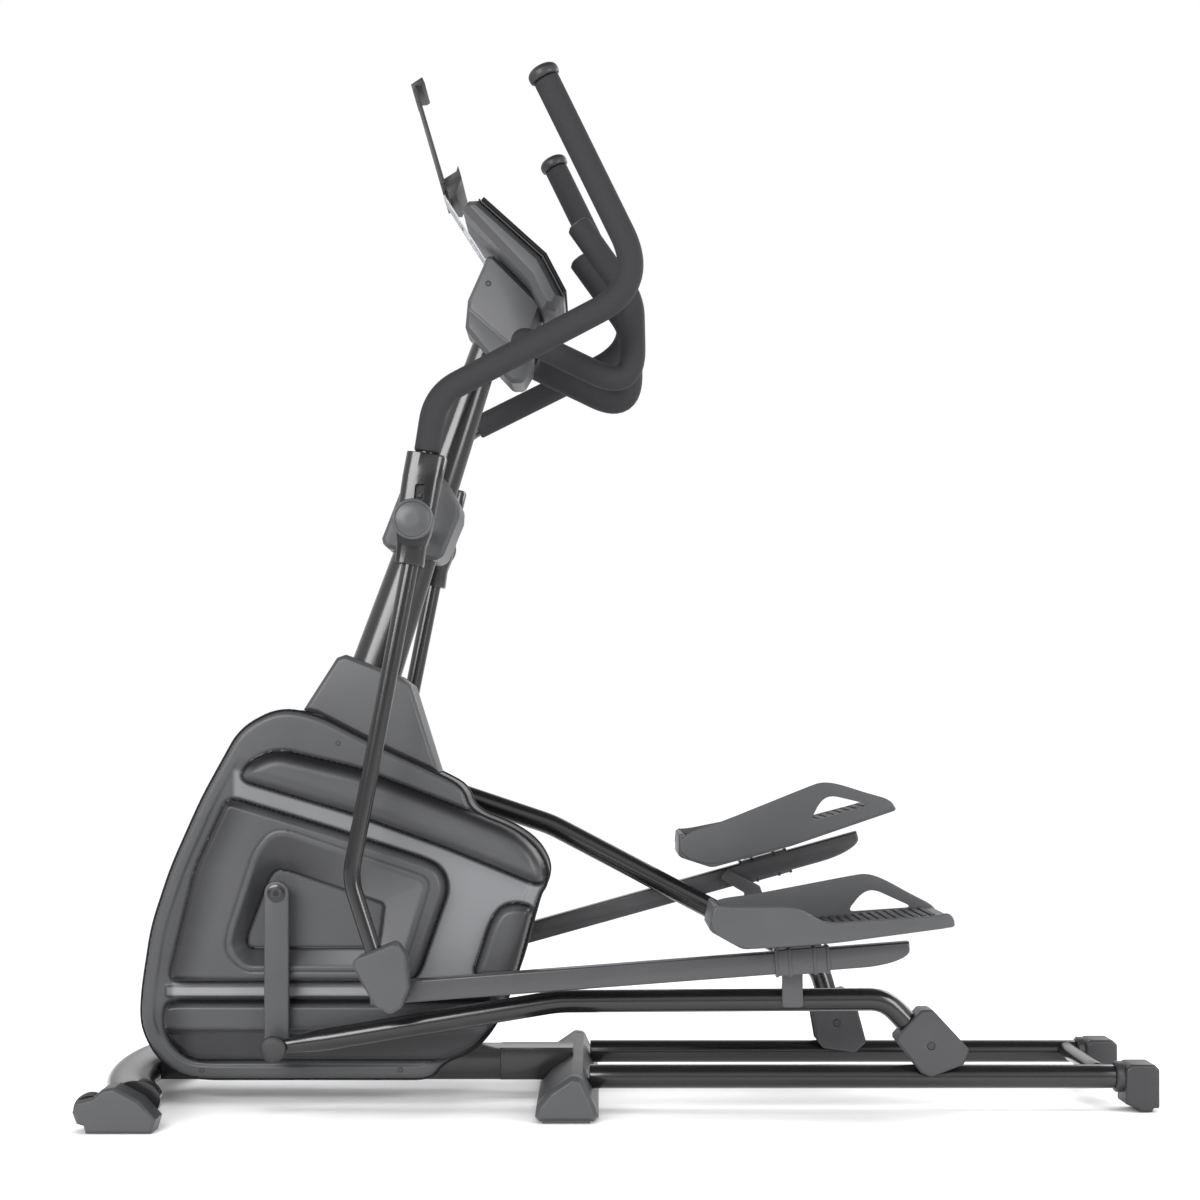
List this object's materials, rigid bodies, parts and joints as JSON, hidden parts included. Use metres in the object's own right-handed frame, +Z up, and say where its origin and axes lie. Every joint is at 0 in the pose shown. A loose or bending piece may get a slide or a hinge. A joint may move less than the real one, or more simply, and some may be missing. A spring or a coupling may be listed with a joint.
{
  "type": "elliptical trainer",
  "caption": "Front-drive elliptical trainer with a covered crank, roller-guided bars, footrests, moving handlebars, fixed handles and a console.",
  "frame": {"origin": "centre of the bounding box in plan, on the floor", "axes": "+X towards the user's end with the rails, -X the drive and console end, +Y the user's right when facing the console, +Z up"},
  "size_m": [1.6008, 0.616, 1.5902],
  "materials": {
    "black_steel": "gloss black powder coat",
    "cast_iron": "cast and turned",
    "dark_plastic": "satin near-black",
    "foam": "matte closed-cell foam sleeve",
    "gloss_plastic": "glossy black face",
    "grey_plastic": "satin dark grey, fine grained",
    "grey_steel": "plain turned or plated steel",
    "rubber": "matte black rubber or urethane"
  },
  "bodies": {
    "frame": {"base_beam": "black_steel", "console_body": "grey_plastic", "console_face": "gloss_plastic", "console_neck": "grey_plastic", "drive_belt": "rubber", "frame_post": "black_steel", "front_stabilizer": "black_steel", "holder_bracket": "grey_steel", "holder_plate": "dark_plastic", "left_front_cap": "grey_plastic", "left_housing_shell": "grey_plastic", "left_middle_cap": "grey_plastic", "left_pulse_handle": "foam", "left_rail": "black_steel", "left_rail_cap": "dark_plastic", "mast": "black_steel", "middle_stabilizer": "grey_plastic", "neck_shroud": "grey_plastic", "pivot_axle": "grey_steel", "pivot_cover": "grey_plastic", "rail_cross_tube": "black_steel", "right_front_cap": "grey_plastic", "right_housing_shell": "grey_plastic", "right_middle_cap": "grey_plastic", "right_pulse_handle": "foam", "right_rail": "black_steel", "right_rail_cap": "dark_plastic"},
    "crank": {"crank_axle": "grey_steel", "left_crank_arm": "grey_plastic", "right_crank_arm": "grey_plastic", "drive_pulley": "cast_iron"},
    "flywheel": {"flywheel": "cast_iron"},
    "brake": {"brake_arm": "cast_iron"},
    "clamp": {"holder_clamp": "dark_plastic"},
    "left_transport": {"left_transport_wheel": "rubber"},
    "left_carriage": {"left_roller_axle": "grey_steel"},
    "left_roller": {"left_roller_wheel": "rubber"},
    "left_bar": {"left_roller_bar": "black_steel", "left_roller_housing": "dark_plastic"},
    "left_footrest": {"left_pedal_bar": "black_steel", "left_pedal": "grey_plastic"},
    "left_arm": {"left_swing_arm": "black_steel", "left_pivot_cap": "grey_plastic", "left_boss_cover": "grey_plastic", "left_handlebar": "black_steel", "left_foam_grip": "foam", "left_grip_cap": "dark_plastic"},
    "right_transport": {"right_transport_wheel": "rubber"},
    "right_carriage": {"right_roller_axle": "grey_steel"},
    "right_roller": {"right_roller_wheel": "rubber"},
    "right_bar": {"right_roller_bar": "black_steel", "right_roller_housing": "dark_plastic"},
    "right_footrest": {"right_pedal_bar": "black_steel", "right_pedal": "grey_plastic"},
    "right_arm": {"right_swing_arm": "black_steel", "right_pivot_cap": "grey_plastic", "right_boss_cover": "grey_plastic", "right_handlebar": "black_steel", "right_foam_grip": "foam", "right_grip_cap": "dark_plastic"}
  },
  "joints": [
    {"name": "crank_turn", "type": "hinge", "parent": "frame", "child": "crank", "pos_m": [-0.5333, 0, 0.327], "axis": [0, -1, 0], "range_deg": [0, 90]},
    {"name": "flywheel_spin", "type": "hinge", "parent": "frame", "child": "flywheel", "pos_m": [-0.2823, 0, 0.235], "axis": [0, -1, 0], "continuous": true},
    {"name": "brake_swing", "type": "hinge", "parent": "frame", "child": "brake", "pos_m": [-0.3819, 0, 0.2925], "axis": [0, -1, 0], "range_deg": [0, 8], "stiffness_Nm_per_rad": 2},
    {"name": "clamp_slide", "type": "slide", "parent": "frame", "child": "clamp", "axis": [-0.285, 0, 0.9585], "range_m": [0, 0.03], "stiffness_N_per_m": 120},
    {"name": "left_transport_spin", "type": "hinge", "parent": "frame", "child": "left_transport", "pos_m": [-0.7703, -0.282, 0.0305], "axis": [0, 1, 0], "continuous": true},
    {"name": "left_carriage_slide", "type": "slide", "parent": "frame", "child": "left_carriage", "axis": [1, 0, 0], "range_m": [0, 0.2057]},
    {"name": "left_roller_spin", "type": "hinge", "parent": "left_carriage", "child": "left_roller", "pos_m": [0.4567, -0.12, 0.1], "axis": [0, -1, 0], "continuous": true},
    {"name": "left_bar_swing", "type": "hinge", "parent": "left_carriage", "child": "left_bar", "pos_m": [0.4567, -0.12, 0.1], "axis": [0, -1, 0], "range_deg": [-13.56, 0]},
    {"name": "left_footrest_swing", "type": "hinge", "parent": "left_bar", "child": "left_footrest", "pos_m": [0.19771, -0.17, 0.2265], "axis": [0, -1, 0], "range_deg": [0, 16.39]},
    {"name": "left_arm_swing", "type": "hinge", "parent": "frame", "child": "left_arm", "pos_m": [-0.3153, -0.2, 0.883], "axis": [0, -1, 0], "range_deg": [0, 20.34]},
    {"name": "right_transport_spin", "type": "hinge", "parent": "frame", "child": "right_transport", "pos_m": [-0.7703, 0.282, 0.0305], "axis": [0, 1, 0], "continuous": true},
    {"name": "right_carriage_slide", "type": "slide", "parent": "frame", "child": "right_carriage", "axis": [1, 0, 0], "range_m": [-0.1456, 0]},
    {"name": "right_roller_spin", "type": "hinge", "parent": "right_carriage", "child": "right_roller", "pos_m": [0.3439, 0.12, 0.1], "axis": [0, -1, 0], "continuous": true},
    {"name": "right_bar_swing", "type": "hinge", "parent": "right_carriage", "child": "right_bar", "pos_m": [0.3439, 0.12, 0.1], "axis": [0, -1, 0], "range_deg": [0, 14.38]},
    {"name": "right_footrest_swing", "type": "hinge", "parent": "right_bar", "child": "right_footrest", "pos_m": [0.17425, 0.17, 0.33302], "axis": [0, -1, 0], "range_deg": [-24.71, 0]},
    {"name": "right_arm_swing", "type": "hinge", "parent": "frame", "child": "right_arm", "pos_m": [-0.3153, 0.2, 0.883], "axis": [0, -1, 0], "range_deg": [-18.22, 0]}
  ],
  "couplings": [
    {"joint": "flywheel_spin", "follows": "crank_turn", "ratio": 8.75},
    {"joint": "left_carriage_slide", "follows": "crank_turn", "m_per_rad": 0.13091},
    {"joint": "left_bar_swing", "follows": "crank_turn", "ratio": -0.1505},
    {"joint": "left_footrest_swing", "follows": "crank_turn", "ratio": 0.18189},
    {"joint": "left_arm_swing", "follows": "crank_turn", "ratio": 0.22584},
    {"joint": "left_roller_spin", "follows": "crank_turn", "ratio": -4.1297},
    {"joint": "right_carriage_slide", "follows": "crank_turn", "m_per_rad": -0.092655},
    {"joint": "right_bar_swing", "follows": "crank_turn", "ratio": 0.15963},
    {"joint": "right_footrest_swing", "follows": "crank_turn", "ratio": -0.27438},
    {"joint": "right_arm_swing", "follows": "crank_turn", "ratio": -0.20226},
    {"joint": "right_roller_spin", "follows": "crank_turn", "ratio": 2.9229}
  ]
}
